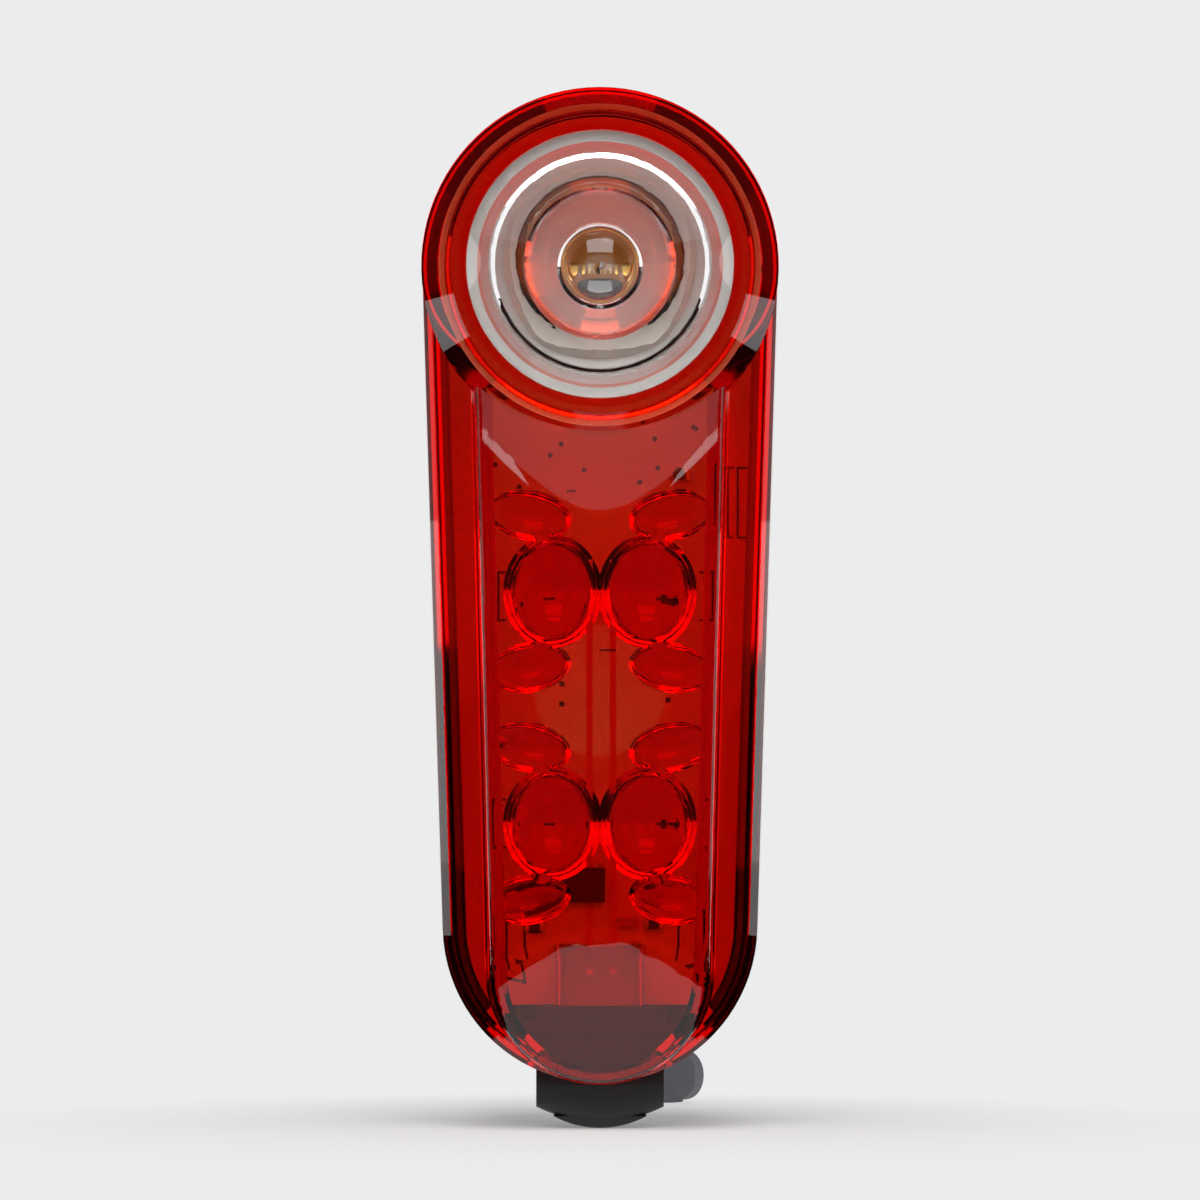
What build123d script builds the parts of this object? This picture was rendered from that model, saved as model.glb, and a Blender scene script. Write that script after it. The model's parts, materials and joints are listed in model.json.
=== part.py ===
from build123d import *
import os
from math import asin, cos, degrees, radians, sin, sqrt

os.makedirs("parts", exist_ok=True)

# A rear light for a bicycle's seatpost, in millimetres. +Z is up, the lens faces -Y and +X is the
# viewer's right. The origin is on the seatpost's axis, at mid-height of the rubber saddle pad.

# Seatpost and saddle
post_radius = 12.5
pad_thickness = 1.5
pad_height = 24.0
pad_half_angle = 55.0
saddle_half_width = 12.0
saddle_reach = 8.6
saddle_lip = 0.8
saddle_corner = 1.2
saddle_spread = 2.6
mount_above_tail = 3.5

# Front outline: two arcs and the lines that touch both
head_radius = 15.5
tail_radius = 13.75
centre_gap = 56.6

# Lens
lens_wall = 1.6
lens_lip = 0.15
side_depth = 5.6
side_draft = 0.2
shoulder_edge = 0.7
shoulder_edge_depth = 0.6
shoulder_run = 2.5
shoulder_rise = 0.9
plateau_head_radius = 11.25
plateau_tail_radius = 9.75
plateau_tail_lift = 10.1
plateau_draft = 0.45
plateau_edge_radius = 0.7
crown_depth = 12.0
crown_across_radius = 60.0
crown_foot_height = 13.1
crown_foot_slope = 6.7
crown_foot_radius = 32.7
crown_head_height = 49.1
crown_head_slope = 4.5
crown_head_radius = 150.0
crown_foot_sweep = 50.0
crease_radius = 10.0
brim_front_share = 0.6
cone_base_radius = 15.3
cone_base_depth = 10.0
rim_radius = 12.7
rim_depth = 13.0
head_wall = 1.8
head_roof_depth = 11.0

# Optics inside the lens's front wall, one over each lower light source
optic_heights = (42.45, 22.65)
lobe_offset = 4.05
lobe_radius = 4.25
lobe_height = 4.9
lobe_depth = 2.8
wing_offset = 6.1
wing_rise = 6.5
wing_radius = 2.2
wing_length = 3.7
wing_lean = 80.0
wing_depth = 1.6
neck_offset = 5.0
neck_rise = 4.9
neck_radius = 1.1
neck_length = 2.4
neck_lean = 25.0
neck_depth = 1.3
recess_radius = 5.6
recess_height = 34.0
recess_depth = 0.7
rail_places = (-0.9, 1.1)
rail_width = 0.55
rail_depth = 1.2
rail_bottom = 9.9
rail_top = 45.2

# Clear spot lens and its seal
spot_radius = 11.4
spot_clearance = 0.06
spot_flange = 1.7
spot_front_depth = 13.1
spot_dome = 0.35
spot_recess_radius = 6.5
spot_eye_radius = 3.7
spot_eye_depth = 9.4
spot_eye_dome = 1.3
spot_bowl_radius = 9.5
spot_back_radius = 4.3
spot_pocket_radius = 3.1
spot_pocket_depth = 2.9
spot_pocket_taper = 0.4
spot_pocket_dome = 0.7
spot_standoff = 0.3
spot_bowl_bulge = 0.7
collar_wall = 0.65
collar_ledge = 1.3
collar_ledge_thickness = 0.9
seal_thickness = 0.5
seal_gap = 0.03
seal_width = 1.0

# Rear housing
housing_depth = 12.0
housing_step = 0.4
housing_wall = 1.6
housing_back_inset = 3.2
housing_shell_depth = 10.6
housing_waist_depth = 5.5
housing_waist_inset = 0.9
housing_back_radius = 1.5
gasket_width = 0.7
gasket_inset = 0.9
gasket_thickness = 0.5

# Board and what is on it
board_thickness = 1.2
board_back_depth = 1.3
board_gap = 0.7
board_bottom = 7.0
post_boss_radius = 1.3
boss_inset = 1.9
boss_heights = (16.0, 56.0)
led_size = 3.5
led_thickness = 0.7
led_wall = 0.45
led_recess = 0.3
led_chip_size = 1.4
led_chip_thickness = 0.25
led_dome_radius = 1.45
side_led_width = 3.0
side_led_height = 2.8
side_led_thickness = 0.8
side_led_dome_radius = 1.15
driver_width = 4.0
driver_height = 3.0
driver_thickness = 0.9
driver_lift = 17.2
driver_offset = -1.6
indicator_width = 1.6
indicator_height = 0.8
indicator_thickness = 0.6
indicator_place = (2.4, 14.0)
resistor_width = 1.6
resistor_height = 0.8
resistor_thickness = 0.5
snap_radius = 0.9
snap_offset = 7.7
snap_height = 5.9
snap_depth = 2.6
resistor_places = (
    (-5.6, 13.6), (-5.6, 15.2), (4.6, 13.8), (4.6, 15.4), (4.6, 17.0), (-5.6, 16.8), (6.9, 51.0),
    (6.9, 52.6), (-7.4, 29.2),
)

# Charging socket, its rubber frame and the rubber cover
socket_width = 7.5
socket_height = 2.5
socket_length = 5.0
socket_wall = 0.3
socket_corner = 0.8
tongue_width = 3.7
tongue_thickness = 0.6
tongue_length = 3.4
contact_count = 5
contact_pitch = 0.65
contact_width = 0.35
contact_thickness = 0.08
contact_length = 2.6
frame_width = 11.4
frame_rib_width = 13.3
frame_rib_height = 0.85
frame_rib_heights = (3.3, 4.75)
frame_wall = 0.9
frame_clearance = 0.15
frame_bottom = 2.4
cover_width = 11.0
cover_front_depth = 5.1
cover_side_drop = 1.9
cover_drop = 3.2
cover_corner = 0.8
cover_clearance = 0.15
cover_edge_radius = 0.9
lip_width = 8.0
lip_drop = 0.5
lip_length = 6.4
lip_setback = 0.3
nub_width = 7.6
nub_thickness = 2.2
nub_rise = 1.2
hinge_radius = 1.1
hinge_depth = 2.6
hinge_drop = 0.9
anchor_width = 3.2
anchor_thickness = 1.6
anchor_head_width = 4.6
anchor_head_height = 1.0
anchor_wall_slack = 0.5
cover_rise = 2.2
running_gap = 0.1

# Battery
cell_width = 17.0
cell_height = 34.0
cell_thickness = 5.6
cell_corner = 1.0
cell_bottom = 15.5
tape_thickness = 0.4
tape_margin = 1.5
lead_radius = 0.45
lead_spread = 3.0
lead_rise = 4.5
lead_bend = 1.8

# Switch and power button
button_depth = 2.9
button_width = 9.0
button_thickness = 3.0
button_stand = 0.5
button_flange = 0.8
button_flange_margin = 0.9
button_clearance = 0.1
button_foot_radius = 1.5
switch_width = 6.0
switch_height = 3.6
switch_thickness = 6.2
button_foot_length = 0.735
plunger_radius = 1.6
plunger_rise = 1.0
plunger_depth = 1.2
plunger_clearance = 0.06
plunger_gap = 0.02
button_seal_width = 0.5
button_seal_thickness = 0.6
button_travel = 0.3

# Strap, its pin, the lugs and the hook
pin_offset = 11.9
pin_setback = 10.6
pin_radius = 0.9
pin_clearance = 0.05
eye_radius = 1.8
strap_thickness = 1.4
strap_height = 8.0
strap_tip_height = 4.6
strap_radius = 13.3
strap_tip_angle = 47.0
strap_hole_radius = 1.6
strap_hole_shares = (0.34, 0.48, 0.62, 0.76)
strap_eye_share = 0.03
strap_close_share = 0.3
strap_drop_share = 0.2
strap_fall_share = 0.88
strap_section_count = 9
strap_corner = 0.4
strap_lift = 0.5
lug_thickness = 1.4
lug_gap = 0.2
lug_radius = 2.0
hook_reach = 1.9
hook_radius = 1.1
hook_head_radius = 1.6
hook_head_thickness = 0.7
hook_head_lift = 0.4
hook_root = 1.0
hook_setback = 1.4

# One small overrun for every cut
over = 0.5

parting_y = -(post_radius + pad_thickness + housing_depth)
z_tail = -mount_above_tail
z_head = z_tail + centre_gap
z_bottom = z_tail - tail_radius
board_front_depth = board_back_depth + board_thickness
floor_z = z_bottom - cover_drop - lip_drop
socket_depth = board_front_depth + socket_height / 2
socket_top = z_bottom + board_bottom + socket_length


def front_plane(depth):
    """A plane parallel to the lens's front, this far forward of the parting plane"""
    return Plane(origin=(0, parting_y - depth, 0), x_dir=(1, 0, 0), z_dir=(0, -1, 0))


# Side plane: across it runs the depth forward of the parting plane, and up it runs the height
side_plane = Plane(origin=(0, parting_y, 0), x_dir=(0, -1, 0), z_dir=(-1, 0, 0))


def stadium(head, tail, top, bottom):
    """The face between two arcs and the lines that touch both"""
    lean = asin((head - tail) / (top - bottom))
    right_top = (head * cos(lean), top - head * sin(lean))
    right_low = (tail * cos(lean), bottom - tail * sin(lean))
    left_top, left_low = (-right_top[0], right_top[1]), (-right_low[0], right_low[1])
    edges = Curve() + [
        ThreePointArc(right_top, (0, top + head), left_top),
        Line(left_top, left_low),
        ThreePointArc(left_low, (0, bottom - tail), right_low),
        Line(right_low, right_top),
    ]
    return make_face(edges)


def outline(inset):
    return stadium(head_radius - inset, tail_radius - inset, z_head, z_tail)


def block(x, depth, z):
    """A box from its two limits across, forward of the parting plane, and up"""
    size = (x[1] - x[0], depth[1] - depth[0], z[1] - z[0])
    middle = (sum(x) / 2, parting_y - sum(depth) / 2, sum(z) / 2)
    return Pos(*middle) * Box(*size)


def forward_rod(radius, x, z, back, front):
    """A cylinder that points forward"""
    return extrude(front_plane(back) * Pos(x, z) * Circle(radius), amount=front - back)


def crown(inset):
    """The rounded front: an upright cylinder, cut back at its foot and its head by two long arcs"""
    foot_turn, head_turn = radians(crown_foot_slope), radians(crown_head_slope)
    foot_middle = (
        crown_depth - crown_foot_radius * cos(foot_turn),
        z_bottom + crown_foot_height + crown_foot_radius * sin(foot_turn),
    )
    head_middle = (
        crown_depth - crown_head_radius * cos(head_turn),
        z_bottom + crown_head_height - crown_head_radius * sin(head_turn),
    )
    top_turn = degrees(asin((z_head + head_radius - head_middle[1]) / crown_head_radius))
    foot = CenterArc(
        foot_middle, crown_foot_radius - inset, -crown_foot_slope - crown_foot_sweep, crown_foot_sweep
    )
    head = CenterArc(
        head_middle, crown_head_radius - inset, crown_head_slope, top_turn - crown_head_slope
    )
    low, top = foot @ 0, head @ 1
    edges = Curve() + [
        foot,
        Line(foot @ 1, head @ 0),
        head,
        Line(top, (0, top.Y)),
        Line((0, top.Y), (0, low.Y)),
        Line((0, low.Y), low),
    ]
    cut = extrude(side_plane * make_face(edges), amount=head_radius, both=True)
    axis_y = parting_y - crown_depth + crown_across_radius
    return cut & upright_rod(crown_across_radius - inset, 0, axis_y, z_bottom, z_head + head_radius)


def base_form(inset, back):
    """Side wall, its broken edge and the sloping shoulder"""
    places = [
        (back, 0),
        (side_depth - inset, side_draft),
        (side_depth - inset + shoulder_edge_depth, side_draft + shoulder_edge),
        (
            side_depth - inset + shoulder_edge_depth + shoulder_rise,
            side_draft + shoulder_edge + shoulder_run,
        ),
    ]
    return loft([front_plane(d) * outline(inset + i) for d, i in places], ruled=True)


def plateau_form(inset):
    """The raised front, with drafted sides and a crowned face"""
    foot = side_depth - inset - lens_wall
    sides = []
    for depth, spread in ((foot, plateau_draft), (crown_depth + over, -plateau_draft)):
        face = stadium(
            plateau_head_radius + spread - inset,
            plateau_tail_radius + spread - inset,
            z_head,
            z_bottom + plateau_tail_lift,
        )
        sides.append(front_plane(depth) * face)
    return loft(sides, ruled=True) & crown(inset)


def front_edges(plateau, shared_by):
    """The edges of the front's faces that this many of them share: 1 at the brim, 2 between them"""
    crowned = [f for f in plateau.faces() if f.normal_at(f.center()).Y < -brim_front_share]
    edges = [e for f in crowned for e in f.edges()]
    kept = ShapeList()
    for edge in edges:
        if sum(edge.is_same(other) for other in edges) != shared_by:
            continue
        if not any(edge.is_same(other) for other in kept):
            kept.append(edge)
    return kept


def lens_form(inset, back):
    return base_form(inset, back) + plateau_form(inset)


def ring(points):
    """Turn an outline of (radius, depth) points about the head's axis"""
    placed = [(depth, z_head + radius) for radius, depth in points]
    face = make_face(Polyline(*placed, close=True))
    return revolve(side_plane * face, Axis((0, parting_y, z_head), (0, -1, 0)))


def rear_bevel():
    """The slope inside the wall's rear end, which leaves a thin lip at the outline"""
    slope = lens_wall - lens_lip
    places = ((-over, lens_lip - over), (slope, lens_wall))
    return loft([front_plane(d) * outline(i) for d, i in places], ruled=True)


def make_red_lens():
    head = ring([
        (0, 0), (cone_base_radius, 0), (cone_base_radius, cone_base_depth), (rim_radius, rim_depth),
        (0, rim_depth),
    ])
    plateau = plateau_form(0)
    plateau = fillet(front_edges(plateau, 2), crease_radius)
    plateau = fillet(front_edges(plateau, 1), plateau_edge_radius)
    outer = base_form(0, 0) + plateau + head
    inner = lens_form(lens_wall, -over)
    head_room = forward_rod(cone_base_radius - head_wall, 0, z_head, -over, head_roof_depth)
    lens = outer - inner - head_room - rear_bevel()
    # collar that carries the clear spot lens
    bore = spot_radius + spot_clearance
    ledge_top = spot_front_depth - spot_flange - seal_thickness
    lens += ring([
        (bore, ledge_top), (bore + collar_wall, ledge_top), (bore + collar_wall, head_roof_depth + over),
        (bore, head_roof_depth + over),
    ])
    lens -= forward_rod(bore, 0, z_head, ledge_top, rim_depth + over)
    lens += ring([
        (bore - collar_ledge, ledge_top - collar_ledge_thickness),
        (bore + collar_wall, ledge_top - collar_ledge_thickness),
        (bore + collar_wall, ledge_top), (bore - collar_ledge, ledge_top),
    ])
    # thin round spot between the two optics
    spot = forward_rod(recess_radius, 0, z_bottom + recess_height, board_front_depth, crown_depth)
    lens -= spot & plateau_form(lens_wall - recess_depth)
    # optics: two lobes and four wings each, on the inner face of the front wall
    skin = plateau_form(lens_wall / 2)
    for height in optic_heights:
        z = z_bottom + height
        y = parting_y - (crown_depth - lens_wall)
        pieces = Part()
        for side in (-1, 1):
            pieces += Pos(side * lobe_offset, y, z) * spheroid(lobe_radius, lobe_height, lobe_depth)
            for end in (-1, 1):
                wing = Rot(0, side * end * wing_lean, 0) * spheroid(wing_radius, wing_length, wing_depth)
                neck = Rot(0, side * end * neck_lean, 0) * spheroid(neck_radius, neck_length, neck_depth)
                pieces += Pos(side * wing_offset, y, z + end * wing_rise) * wing
                pieces += Pos(side * neck_offset, y, z + end * neck_rise) * neck
        lens += pieces & skin
    # two rails that stiffen the front wall
    band = plateau_form(lens_wall / 2) - plateau_form(lens_wall + rail_depth)
    for x in rail_places:
        lens += band & block(
            (x - rail_width / 2, x + rail_width / 2), (0, crown_depth),
            (z_bottom + rail_bottom, z_bottom + rail_top),
        )
    # notch in the foot, where the rubber cover comes through
    half = cover_width / 2 + cover_clearance
    lens -= block(
        (-half, half), (-over, cover_front_depth + cover_clearance),
        (z_bottom - over, z_bottom + 2 * lens_wall),
    )
    return lens


def spheroid(radius, half_length, half_depth):
    """A ball stretched upwards and flattened: half an ellipse turned about the vertical"""
    half = make_face(
        Curve()
        + [
            EllipticalCenterArc((0, 0), radius, half_length, -90, arc_size=180),
            Line((0, -half_length), (0, half_length)),
        ]
    )
    return scale(revolve(Plane.XZ * half, Axis.Z), by=(1, half_depth / radius, 1))


def cap(apex, edge, radius):
    """The arc of a shallow dome about the middle axis, from its apex depth to its edge depth"""
    rise = apex - edge
    bend = (radius**2 + rise**2) / (2 * abs(rise))
    middle = apex - bend if rise > 0 else apex + bend
    sweep = degrees(asin(radius / bend))
    start = 0 if rise > 0 else 180
    return CenterArc((middle, 0), bend, start, sweep if rise > 0 else -sweep)


def make_spot_lens():
    """A solid clear collimator: a bowl that reflects inside, an eye in front and a pocket behind"""
    front = spot_front_depth
    back = board_front_depth + spot_standoff
    underside = front - spot_flange
    pocket_end = back + spot_pocket_depth
    pocket_end_radius = spot_pocket_radius - spot_pocket_taper
    eye_apex = spot_eye_depth + spot_eye_dome
    bowl_middle = ((underside + back) / 2, (spot_bowl_radius + spot_back_radius) / 2 + spot_bowl_bulge)
    outer = Curve() + [
        cap(eye_apex, spot_eye_depth, spot_eye_radius),
        Line((spot_eye_depth, spot_eye_radius), (front + spot_dome, spot_recess_radius)),
        Line((front + spot_dome, spot_recess_radius), (front, spot_radius)),
        Line((front, spot_radius), (underside, spot_radius)),
        Line((underside, spot_radius), (underside, spot_bowl_radius)),
        ThreePointArc((underside, spot_bowl_radius), bowl_middle, (back, spot_back_radius)),
        Line((back, spot_back_radius), (back, spot_pocket_radius)),
        Line((back, spot_pocket_radius), (pocket_end, pocket_end_radius)),
        cap(pocket_end - spot_pocket_dome, pocket_end, pocket_end_radius),
        Line((pocket_end - spot_pocket_dome, 0), (eye_apex, 0)),
    ]
    face = side_plane * Pos(0, z_head) * make_face(outer)
    return revolve(face, Axis((0, parting_y, z_head), (0, -1, 0)))


def make_spot_seal():
    bore = spot_radius + spot_clearance
    high = spot_front_depth - spot_flange - seal_gap
    low = high + seal_gap - seal_thickness
    return ring([
        (bore - seal_width, low), (bore - spot_clearance, low),
        (bore - spot_clearance, high), (bore - seal_width, high),
    ])


def rim_band(outer_inset, inner_inset, back, front):
    """A band that follows the outline"""
    band = outline(outer_inset) - outline(inner_inset)
    return extrude(front_plane(back) * band, amount=front - back)


def shell_form(inset):
    """The rear housing's outside, drawn in by a wall: three outlines, then the rounded back"""
    step = housing_step + inset
    places = [
        (0 if inset == 0 else over, step),
        (-housing_waist_depth, step + housing_waist_inset),
        (-housing_shell_depth + inset, step + housing_back_inset),
    ]
    return loft([front_plane(d) * outline(i) for d, i in places], ruled=True)


def upright_rod(radius, x, y, low, high):
    return Pos(x, y, (low + high) / 2) * Cylinder(radius, high - low)


def crown_disc(radius, back, front):
    """A disc about the head's axis"""
    return forward_rod(radius, 0, z_head, back, front)


button_y_depths = (-button_depth - button_thickness / 2, -button_depth + button_thickness / 2)
shell_crown_radius = head_radius - housing_step - housing_waist_inset * button_depth / housing_waist_depth
crown_inner_radius = (
    head_radius - housing_step - housing_wall
    - housing_waist_inset * (button_depth + button_thickness) / housing_waist_depth
)

switch_top = crown_inner_radius - button_flange / 2 - button_foot_length - plunger_rise


def button_slot(grow, low, high):
    """The power button's round-ended plan, pushed upwards between two heights"""
    plan = Pos(0, parting_y + button_depth, low) * SlotOverall(
        button_width + 2 * grow, button_thickness + 2 * grow
    )
    return extrude(plan, amount=high - low)


def make_power_button():
    low, high = z_head + switch_top, z_head + head_radius
    cap_form = button_slot(0, low, high) & crown_disc(
        shell_crown_radius + button_stand, *button_y_depths
    )
    cap_form -= crown_disc(crown_inner_radius - button_flange, *button_y_depths)
    flange = button_slot(button_flange_margin, low, high) & (
        crown_disc(crown_inner_radius - running_gap / 2, *button_y_depths)
        - crown_disc(crown_inner_radius - button_flange, *button_y_depths)
    )
    foot_low = z_head + switch_top + plunger_rise
    foot_high = z_head + crown_inner_radius - button_flange / 2
    foot = upright_rod(button_foot_radius, 0, parting_y + button_depth, foot_low, foot_high)
    return cap_form + flange + foot


def make_button_seal():
    """A thin rubber ring set in the button's hole"""
    high = z_head + shell_crown_radius
    ring_form = button_slot(button_clearance + button_seal_width, z_head, high + over) - button_slot(
        button_clearance, z_head, high + over
    )
    depths = (-button_depth - button_thickness, -button_depth + button_thickness)
    return ring_form & (
        crown_disc(shell_crown_radius - button_clearance, *depths)
        - crown_disc(shell_crown_radius - button_clearance - button_seal_thickness, *depths)
    )


def make_plunger():
    low = z_head + switch_top - plunger_depth
    high = z_head + switch_top + plunger_rise - plunger_gap
    return upright_rod(plunger_radius, 0, parting_y + button_depth, low + button_travel, high)


def make_switch_body():
    top = z_head + switch_top
    half = switch_width / 2
    front = board_back_depth
    body = block((-half, half), (front - switch_thickness, front), (top - switch_height, top))
    hole = upright_rod(
        plunger_radius + plunger_clearance, 0, parting_y + button_depth, top - plunger_depth, top + over
    )
    return body - hole


def post_space(radius, low, high):
    return upright_rod(radius, 0, 0, low, high)


def make_saddle_pad():
    """The rubber pad: a band about the front of the seatpost"""
    ring_form = post_space(post_radius + pad_thickness, -pad_height / 2, pad_height / 2) - post_space(
        post_radius, -pad_height / 2 - over, pad_height / 2 + over
    )
    reach = 2 * (post_radius + pad_thickness)
    side = reach * sin(radians(pad_half_angle))
    down = reach * cos(radians(pad_half_angle))
    corners = ((0, 0), (side, -down), (0, -2 * reach), (-side, -down))
    sector = Pos(0, 0, -pad_height / 2 - over) * make_face(Polyline(*corners, close=True))
    return ring_form & extrude(sector, amount=pad_height + 2 * over)


strap_start_angle = 180 - degrees(asin(-pin_setback / sqrt(pin_offset**2 + pin_setback**2)))
strap_length = radians(strap_start_angle - strap_tip_angle) * strap_radius


def strap_place(share):
    """Centre of the strap at a share of its length: its angle about the post, radius and height"""
    pin_circle = sqrt(pin_offset**2 + pin_setback**2)
    angle = strap_start_angle + share * (strap_tip_angle - strap_start_angle)
    closing = min(1, share / strap_close_share)
    radius = pin_circle + (strap_radius - pin_circle) * closing**2 * (3 - 2 * closing)
    fall = min(1, max(0, share - strap_drop_share) / (strap_fall_share - strap_drop_share))
    eased = fall**2 * (3 - 2 * fall)
    height = strap_height + (strap_tip_height - strap_height) * share
    low = floor_z + height / 2
    rise = strap_lift * max(0, (share - strap_fall_share) / (1 - strap_fall_share)) ** 2
    return angle, radius, low * eased + rise, height


def strap_plane(share):
    """A plane across the strap: its x runs outwards from the post and its y runs up"""
    angle, radius, z, height = strap_place(share)
    out = Vector(cos(radians(angle)), sin(radians(angle)), 0)
    return Plane(origin=out * radius + Vector(0, 0, z), x_dir=out, z_dir=out.cross(Vector(0, 0, 1)))


def tip_corners():
    """What is cut from the tip to leave it round"""
    height = strap_place(1)[3]
    angle, radius, z, _ = strap_place(1 - height / 2 / strap_length)
    out = Vector(cos(radians(angle)), sin(radians(angle)), 0)
    along = out.cross(Vector(0, 0, 1))
    place = Plane(origin=Vector(0, 0, z), x_dir=along, z_dir=out)
    corners = Pos(height, 0) * Rectangle(2 * height, 2 * height) - Circle(height / 2)
    return extrude(place * corners, amount=2 * strap_radius)


def make_strap():
    sections = []
    for number in range(strap_section_count):
        share = strap_eye_share + (1 - strap_eye_share) * number / (strap_section_count - 1)
        height = strap_place(share)[3]
        sections.append(strap_plane(share) * RectangleRounded(strap_thickness, height, strap_corner))
    strip = loft(sections) - tip_corners()
    eye = upright_rod(eye_radius, -pin_offset, -pin_setback, -strap_height / 2, strap_height / 2)
    strip += eye
    strip -= upright_rod(
        pin_radius + pin_clearance, -pin_offset, -pin_setback, -strap_height, strap_height
    )
    for share in strap_hole_shares:
        angle, radius, z, _ = strap_place(share)
        out = Vector(cos(radians(angle)), sin(radians(angle)), 0)
        place = Plane(origin=Vector(0, 0, z), x_dir=out.cross(Vector(0, 0, 1)), z_dir=out)
        strip -= extrude(place * Circle(strap_hole_radius), amount=2 * strap_radius)
    return strip


def make_strap_pin():
    half = strap_height / 2 + lug_gap + lug_thickness
    return upright_rod(pin_radius, -pin_offset, -pin_setback, -half, half)


def edges_near(solid, y):
    """The edges that lie in the upright plane at this y"""
    flat = [e for e in solid.edges() if e.bounding_box().size.Y < running_gap]
    return ShapeList(e for e in flat if abs(e.center().Y - y) < running_gap)


def make_housing():
    outside = shell_form(0)
    outside = fillet(edges_near(outside, parting_y + housing_shell_depth), housing_back_radius)
    shell = outside - shell_form(housing_wall)
    # saddle behind the shell, hollowed to the pad
    low, high = -pad_height / 2 - saddle_lip, pad_height / 2 + saddle_lip
    saddle_front = -housing_shell_depth + housing_wall - over
    saddle = block(
        (-saddle_half_width, saddle_half_width),
        (-(housing_depth + post_radius + pad_thickness - saddle_reach), saddle_front),
        (low, high),
    )
    spread_inset = housing_step + housing_back_inset - saddle_spread
    saddle &= extrude(
        front_plane(-2 * housing_depth - saddle_reach) * outline(spread_inset),
        amount=2 * housing_depth + saddle_reach,
    )
    upright = [e for e in saddle.edges().filter_by(Axis.Z) if e.center().Y > parting_y + housing_shell_depth]
    saddle = fillet(upright, saddle_corner)
    seat_radius = post_radius + pad_thickness
    saddle -= post_space(seat_radius, low - over, high + over)
    # lugs for the strap's pin, at the left
    for side in (-1, 1):
        inner = side * (strap_height / 2 + lug_gap)
        outer = side * (strap_height / 2 + lug_gap + lug_thickness)
        bottom, top = min(inner, outer), max(inner, outer)
        lug = upright_rod(lug_radius, -pin_offset, -pin_setback, bottom, top)
        arm = Pos(0, 0, bottom) * extrude(
            make_face(
                Polyline(
                    (-pin_offset - lug_radius, -pin_setback), (-pin_offset + lug_radius, -pin_setback),
                    (-saddle_half_width + lug_radius, parting_y + housing_shell_depth + housing_wall),
                    (-saddle_half_width, parting_y + housing_shell_depth + housing_wall),
                    close=True,
                )
            ),
            amount=top - bottom,
        )
        saddle += (lug + arm) - post_space(seat_radius, bottom - over, top + over)
    eye_reach = strap_height / 2 + lug_gap
    saddle -= upright_rod(eye_radius + lug_gap, -pin_offset, -pin_setback, -eye_reach, eye_reach)
    saddle -= upright_rod(pin_radius, -pin_offset, -pin_setback, low, high)
    # hook at the right
    hook_plane = Plane(
        origin=(saddle_half_width - hook_root, -pin_setback - hook_setback, 0),
        x_dir=(0, 0, 1), z_dir=(1, 0, 0),
    )
    saddle += extrude(hook_plane * Circle(hook_radius), amount=hook_root + hook_reach)
    head_plane = hook_plane.offset(hook_root + hook_reach - hook_head_thickness)
    hook_head = Pos(hook_head_lift, 0) * Circle(hook_head_radius)
    saddle += extrude(head_plane * hook_head, amount=hook_head_thickness)
    housing = shell + saddle
    # bosses that carry the board
    back = -housing_shell_depth + housing_wall
    front_outline = front_plane(-over) * outline(housing_step + housing_wall / 2)
    front_room = extrude(front_outline, amount=2 * over + board_back_depth)
    for height in boss_heights:
        z = z_bottom + height
        half_width = tail_radius + (head_radius - tail_radius) * (z - z_tail) / centre_gap
        x = half_width - housing_step - housing_wall - boss_inset
        for side in (-1, 1):
            boss = forward_rod(post_boss_radius, side * x, z, back - over, board_back_depth)
            housing += boss & (shell_form(housing_wall / 2) + front_room)
    # two snap posts beside the charging socket
    for side in (-1, 1):
        housing += forward_rod(
            snap_radius, side * snap_offset, z_bottom + snap_height, back - over, snap_depth
        )
    # groove for the gasket
    housing -= rim_band(gasket_inset, gasket_inset + gasket_width, -gasket_thickness, over)
    # hole for the power button and its seal
    housing -= button_slot(button_clearance, z_head, z_head + head_radius)
    depths = (-button_depth - button_thickness, -button_depth + button_thickness)
    housing -= button_slot(button_clearance + button_seal_width, z_head, z_head + head_radius) & (
        crown_disc(head_radius, *depths)
        - crown_disc(shell_crown_radius - button_clearance - button_seal_thickness, *depths)
    )
    flange_room = button_slot(button_flange_margin + button_clearance, z_head, z_head + head_radius)
    housing -= flange_room & crown_disc(crown_inner_radius, *depths)
    # room for the rubber cover's foot
    return housing - anchor_form(running_gap / 2)


hinge_y = parting_y + hinge_depth
hinge_z = z_bottom - hinge_drop


def anchor_form(grow):
    """The cover's foot: a stem through the housing's floor with a wider head inside"""
    stem_low = hinge_z + hinge_radius + running_gap
    wall_top = z_bottom + housing_step + housing_wall + anchor_wall_slack
    half = anchor_thickness / 2 + grow
    stem = block(
        (-anchor_width / 2 - grow, anchor_width / 2 + grow), (-hinge_depth - half, -hinge_depth + half),
        (stem_low - grow, wall_top),
    )
    head = block(
        (-anchor_head_width / 2 - grow, anchor_head_width / 2 + grow),
        (-hinge_depth - half - grow, -hinge_depth + half + grow),
        (wall_top - grow, wall_top + anchor_head_height + grow),
    )
    return stem + head


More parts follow.
